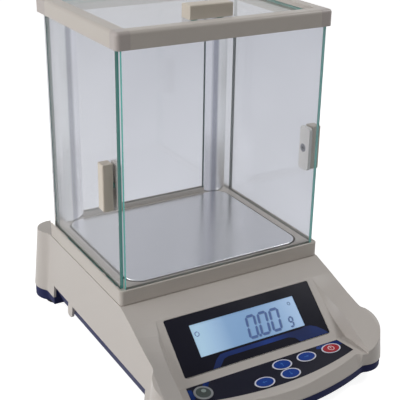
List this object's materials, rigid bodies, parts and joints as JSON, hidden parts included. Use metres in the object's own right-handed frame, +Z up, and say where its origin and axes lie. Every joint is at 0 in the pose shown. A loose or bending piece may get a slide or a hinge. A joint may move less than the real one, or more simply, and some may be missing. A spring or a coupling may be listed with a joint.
{
  "type": "precision balance",
  "caption": "Precision balance with a sloping display and keypad, a square steel pan and a glass draft shield whose side and top panes slide to the rear.",
  "frame": {"origin": "on the bench, under the middle of the footprint", "axes": "+Z up, -Y towards the control panel, +X to the right as seen by the user"},
  "size_m": [0.2244, 0.305, 0.3155],
  "materials": {
    "housing_plastic": "fine texture",
    "shell_plastic": "satin",
    "shield_plastic": "satin",
    "post_metal": "anodised",
    "shield_glass": "clear",
    "handle_plastic": "satin",
    "pan_steel": "brushed",
    "screw_steel": "plain",
    "foot_rubber": "matte",
    "pan_rubber": "matte",
    "foot_plastic": "satin",
    "cast_metal": "cast",
    "cell_metal": "machined",
    "window_plastic": "gloss",
    "lcd_plastic": "backlit",
    "overlay_plastic": "satin",
    "key_blue": "satin",
    "key_red": "satin",
    "board_plastic": "solder mask",
    "jack_plastic": "moulded",
    "socket_metal": "plated",
    "level_metal": "plated",
    "level_glass": "clear"
  },
  "bodies": {
    "balance": {"upper_housing": "housing_plastic", "lower_housing": "shell_plastic", "draft_shield_base": "shield_plastic", "rear_post_left": "post_metal", "rear_post_right": "post_metal", "door_guides": "post_metal", "front_glass": "shield_glass", "rear_glass": "shield_glass", "top_front_bar": "shield_plastic", "top_rear_bar": "shield_plastic", "top_left_rail": "shield_plastic", "top_right_rail": "shield_plastic", "top_front_corners": "shield_plastic", "top_rear_corners": "shield_plastic", "display_window": "window_plastic", "bubble_level_cup": "level_metal", "power_jack": "jack_plastic", "serial_socket": "socket_metal", "pan_carrier": "cast_metal", "chassis_plate": "cast_metal", "chassis_screws": "screw_steel", "load_cell": "cell_metal", "load_bridge": "cast_metal", "load_cell_screws": "screw_steel", "overload_stops": "screw_steel", "pan_cushions": "pan_rubber", "housing_screws": "screw_steel", "shield_screws": "screw_steel", "post_screws": "screw_steel", "board_screws": "screw_steel", "lcd_module": "lcd_plastic", "key_board": "board_plastic", "main_board": "board_plastic", "bubble_level_lens": "level_glass", "keypad_overlay": "overlay_plastic"},
    "left_door": {"left_door_glass": "shield_glass", "left_handle_outer": "handle_plastic", "left_handle_inner": "handle_plastic", "left_handle_screw": "screw_steel"},
    "right_door": {"right_door_glass": "shield_glass", "right_handle_outer": "handle_plastic", "right_handle_inner": "handle_plastic", "right_handle_screw": "screw_steel"},
    "top_door": {"top_door_glass": "shield_glass", "top_handle": "shield_plastic", "top_handle_screws": "screw_steel"},
    "pan": {"weighing_pan": "pan_steel"},
    "key_lower_left_body": {"key_lower_left": "key_blue"},
    "key_upper_middle_body": {"key_upper_middle": "key_blue"},
    "key_lower_middle_body": {"key_lower_middle": "key_blue"},
    "key_upper_right_body": {"key_upper_right": "key_blue"},
    "key_power_body": {"key_power": "key_red"},
    "foot_front_left": {"foot_pad_front_left": "foot_rubber"},
    "foot_front_left_screw": {"foot_screw_front_left": "foot_plastic"},
    "foot_front_right": {"foot_pad_front_right": "foot_rubber"},
    "foot_front_right_screw": {"foot_screw_front_right": "foot_plastic"},
    "foot_rear_left": {"foot_pad_rear_left": "foot_rubber"},
    "foot_rear_left_screw": {"foot_screw_rear_left": "foot_plastic"},
    "foot_rear_right": {"foot_pad_rear_right": "foot_rubber"},
    "foot_rear_right_screw": {"foot_screw_rear_right": "foot_plastic"}
  },
  "joints": [
    {"name": "left_door_slide", "type": "slide", "parent": "balance", "child": "left_door", "axis": [0, 1, 0], "range_m": [0, 0.118]},
    {"name": "right_door_slide", "type": "slide", "parent": "balance", "child": "right_door", "axis": [0, 1, 0], "range_m": [0, 0.118]},
    {"name": "top_door_slide", "type": "slide", "parent": "balance", "child": "top_door", "axis": [0, 1, 0], "range_m": [0, 0.105]},
    {"name": "pan_lift", "type": "slide", "parent": "balance", "child": "pan", "axis": [0, 0, 1], "range_m": [0, 0.06]},
    {"name": "key_lower_left_press", "type": "slide", "parent": "balance", "child": "key_lower_left_body", "axis": [0, 0.0785, -0.9969], "range_m": [0, 0.0005], "stiffness_N_per_m": 3000},
    {"name": "key_upper_middle_press", "type": "slide", "parent": "balance", "child": "key_upper_middle_body", "axis": [0, 0.0785, -0.9969], "range_m": [0, 0.0005], "stiffness_N_per_m": 3000},
    {"name": "key_lower_middle_press", "type": "slide", "parent": "balance", "child": "key_lower_middle_body", "axis": [0, 0.0785, -0.9969], "range_m": [0, 0.0005], "stiffness_N_per_m": 3000},
    {"name": "key_upper_right_press", "type": "slide", "parent": "balance", "child": "key_upper_right_body", "axis": [0, 0.0785, -0.9969], "range_m": [0, 0.0005], "stiffness_N_per_m": 3000},
    {"name": "key_power_press", "type": "slide", "parent": "balance", "child": "key_power_body", "axis": [0, 0.0785, -0.9969], "range_m": [0, 0.0005], "stiffness_N_per_m": 3000},
    {"name": "foot_front_left_lift", "type": "slide", "parent": "balance", "child": "foot_front_left", "axis": [0, 0, 1], "range_m": [-0.004, 0.003]},
    {"name": "foot_front_left_turn", "type": "hinge", "parent": "foot_front_left", "child": "foot_front_left_screw", "pos_m": [-0.08, -0.09, 0], "axis": [0, 0, 1], "range_deg": [-1150, 862]},
    {"name": "foot_front_right_lift", "type": "slide", "parent": "balance", "child": "foot_front_right", "axis": [0, 0, 1], "range_m": [-0.004, 0.003]},
    {"name": "foot_front_right_turn", "type": "hinge", "parent": "foot_front_right", "child": "foot_front_right_screw", "pos_m": [0.08, -0.09, 0], "axis": [0, 0, 1], "range_deg": [-1150, 862]},
    {"name": "foot_rear_left_lift", "type": "slide", "parent": "balance", "child": "foot_rear_left", "axis": [0, 0, 1], "range_m": [-0.004, 0.003]},
    {"name": "foot_rear_left_turn", "type": "hinge", "parent": "foot_rear_left", "child": "foot_rear_left_screw", "pos_m": [-0.0905, 0.1314, 0], "axis": [0, 0, 1], "range_deg": [-1150, 862]},
    {"name": "foot_rear_right_lift", "type": "slide", "parent": "balance", "child": "foot_rear_right", "axis": [0, 0, 1], "range_m": [-0.004, 0.003]},
    {"name": "foot_rear_right_turn", "type": "hinge", "parent": "foot_rear_right", "child": "foot_rear_right_screw", "pos_m": [0.0905, 0.1314, 0], "axis": [0, 0, 1], "range_deg": [-1150, 862]}
  ],
  "couplings": [
    {"joint": "foot_front_left_lift", "follows": "foot_front_left_turn", "m_per_rad": 0.00019894},
    {"joint": "foot_front_right_lift", "follows": "foot_front_right_turn", "m_per_rad": 0.00019894},
    {"joint": "foot_rear_left_lift", "follows": "foot_rear_left_turn", "m_per_rad": 0.00019894},
    {"joint": "foot_rear_right_lift", "follows": "foot_rear_right_turn", "m_per_rad": 0.00019894}
  ]
}
